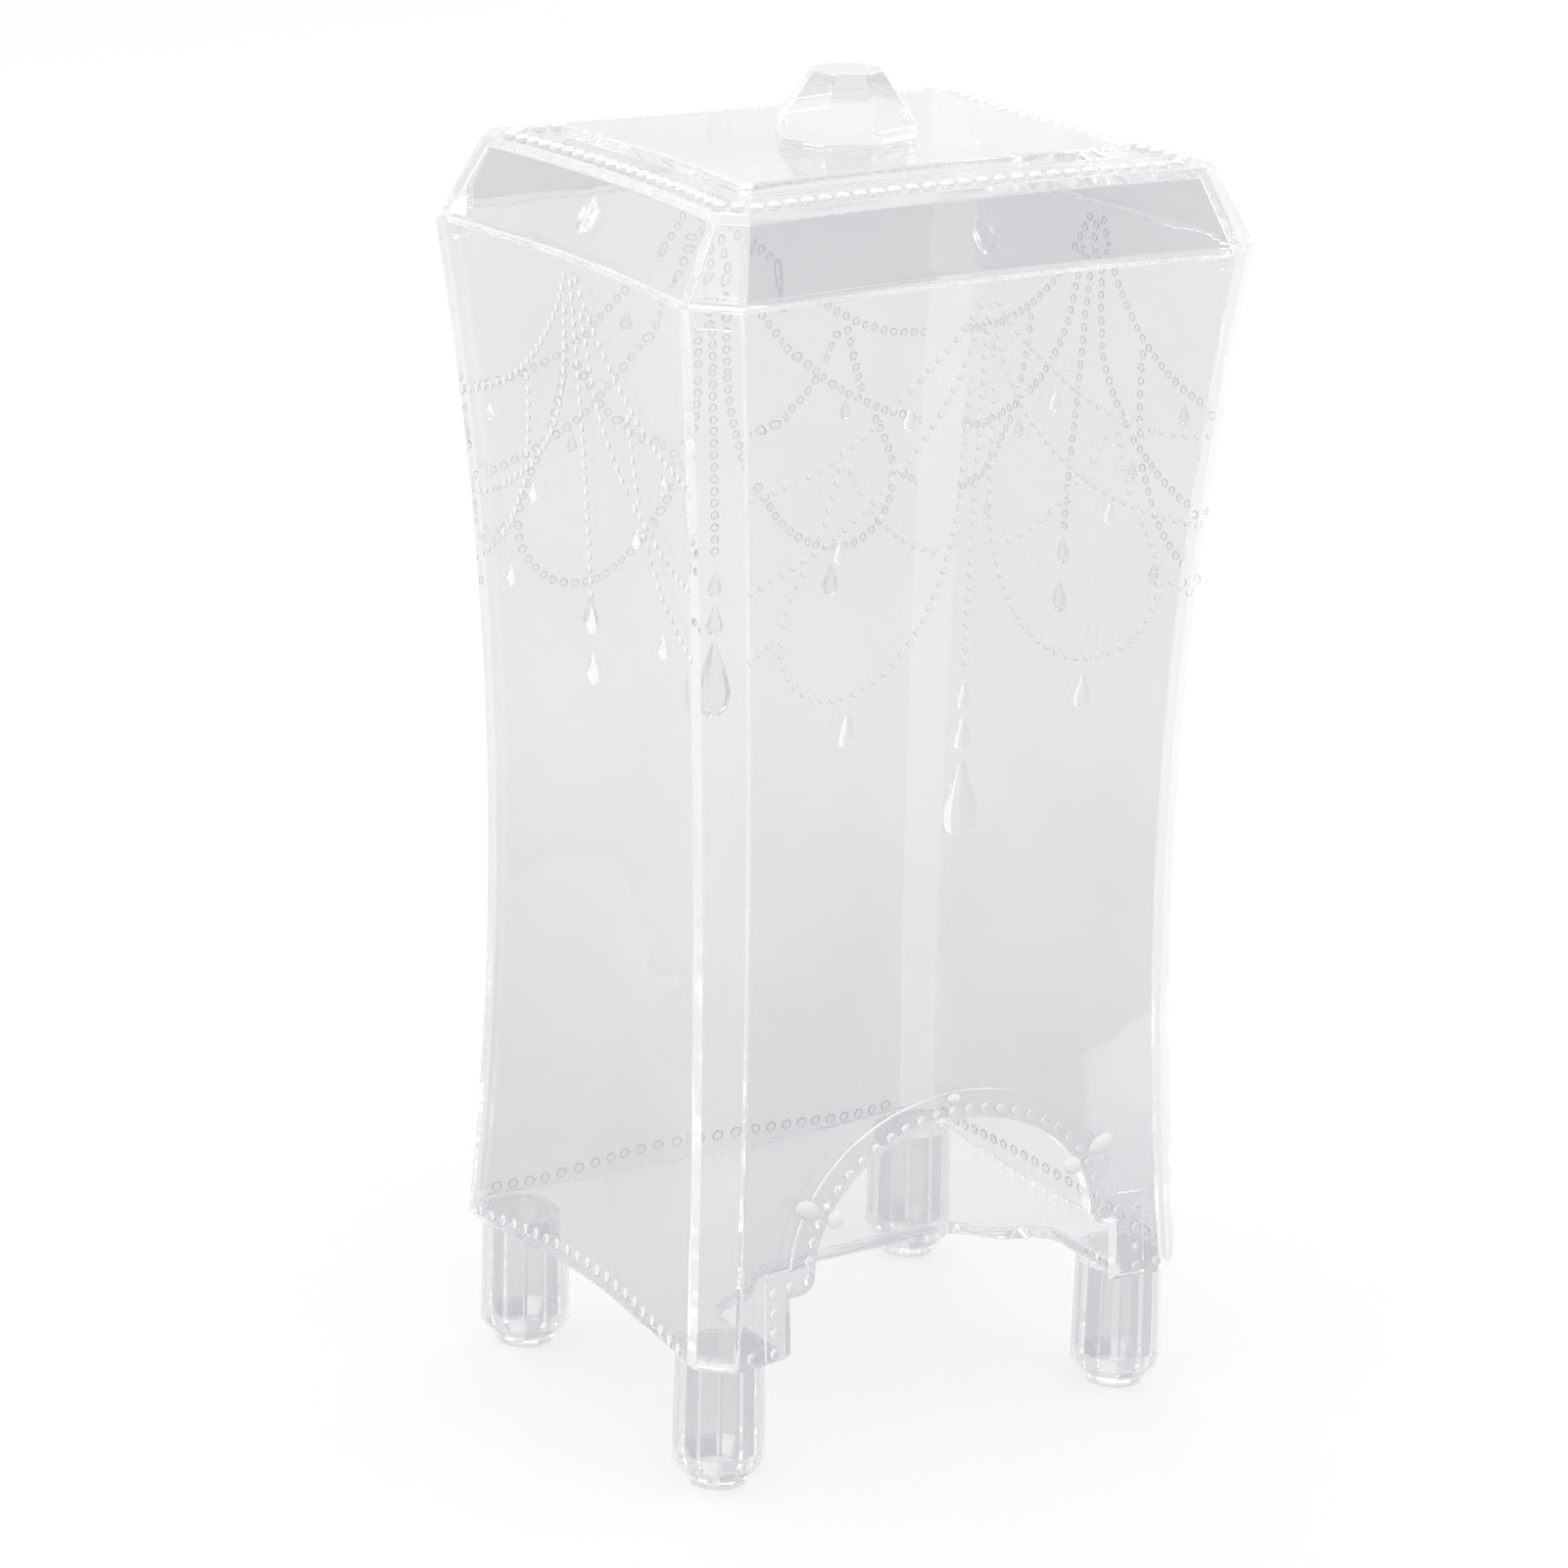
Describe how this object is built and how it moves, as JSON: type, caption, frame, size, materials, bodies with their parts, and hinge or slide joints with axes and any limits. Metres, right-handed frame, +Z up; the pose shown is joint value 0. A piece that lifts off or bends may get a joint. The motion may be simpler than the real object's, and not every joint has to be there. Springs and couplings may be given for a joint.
{
  "type": "cotton pad dispenser",
  "caption": "Tall waisted clear-plastic cotton pad holder with a lift-off lid, gem knob, beaded festoons, arched dispensing mouth and four post feet.",
  "frame": {"origin": "centre of the standing plane, midway between the four feet", "axes": "+Z up, -Y out of the arched dispensing mouth, +X to the right seen from the mouth's side"},
  "size_m": [0.0762, 0.0646, 0.1587],
  "materials": {
    "clear_wall_plastic": "gloss",
    "clear_bead_plastic": "gloss",
    "clear_crystal_plastic": "polished"
  },
  "bodies": {
    "holder": {"body_shell": "clear_wall_plastic", "floor_plate": "clear_wall_plastic", "foot_front_left": "clear_wall_plastic", "foot_front_right": "clear_wall_plastic", "foot_rear_left": "clear_wall_plastic", "foot_rear_right": "clear_wall_plastic", "arch_moulding": "clear_bead_plastic", "arch_beads": "clear_bead_plastic", "arch_leaf_left": "clear_bead_plastic", "arch_leaf_right": "clear_bead_plastic", "arch_crest": "clear_bead_plastic", "skirt_beads_rear": "clear_bead_plastic", "skirt_beads_left": "clear_bead_plastic", "skirt_beads_right": "clear_bead_plastic", "festoon_front": "clear_bead_plastic", "festoon_rear": "clear_bead_plastic", "festoon_left": "clear_bead_plastic", "festoon_right": "clear_bead_plastic", "pendants_front": "clear_crystal_plastic", "pendants_rear": "clear_crystal_plastic", "pendants_left": "clear_crystal_plastic", "pendants_right": "clear_crystal_plastic", "teardrop_front": "clear_crystal_plastic", "teardrop_rear": "clear_crystal_plastic"},
    "lid": {"lid_shell": "clear_wall_plastic", "lid_top_panel": "clear_wall_plastic", "lid_knob": "clear_crystal_plastic", "lid_bead_border": "clear_bead_plastic", "lid_cabochon_front": "clear_crystal_plastic", "lid_cabochon_rear": "clear_crystal_plastic", "lid_cabochon_left": "clear_crystal_plastic", "lid_cabochon_right": "clear_crystal_plastic", "lid_lug_front_left": "clear_wall_plastic", "lid_lug_front_right": "clear_wall_plastic", "lid_lug_rear_left": "clear_wall_plastic", "lid_lug_rear_right": "clear_wall_plastic"}
  },
  "joints": [
    {"name": "lid_lift", "type": "slide", "parent": "holder", "child": "lid", "axis": [0, 0, 1], "range_m": [0, 0.04]}
  ]
}
